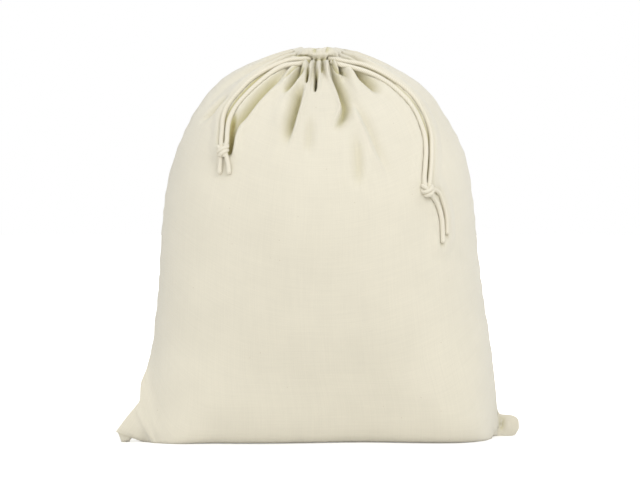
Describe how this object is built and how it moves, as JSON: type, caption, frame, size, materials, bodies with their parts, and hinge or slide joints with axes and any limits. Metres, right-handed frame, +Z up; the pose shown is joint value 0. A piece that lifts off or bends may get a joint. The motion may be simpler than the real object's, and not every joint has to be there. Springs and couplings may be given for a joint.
{
  "type": "drawstring bag",
  "caption": "Filled cotton drawstring bag standing on its base, mouth gathered shut, a knotted cord hanging over each shoulder; holds laundry, clothes or toys.",
  "frame": {"origin": "on the floor, under the middle of the bag", "axes": "+Z is up, X runs along the bottom seam from side seam to side seam, and -Y is the front with the knotted cords"},
  "size_m": [0.575, 0.3002, 0.5656],
  "materials": {
    "cotton_cloth": "unbleached plain-weave cotton, matt",
    "cotton_cord": "twisted cotton cord, matt"
  },
  "bodies": {
    "root": {"front_panel": "cotton_cloth", "back_panel": "cotton_cloth", "left_strand_outer": "cotton_cord", "left_strand_inner": "cotton_cord", "left_knot": "cotton_cord", "right_strand_outer": "cotton_cord", "right_strand_inner": "cotton_cord", "right_knot": "cotton_cord", "right_tail_front": "cotton_cord", "right_tail_back": "cotton_cord"}
  },
  "joints": []
}
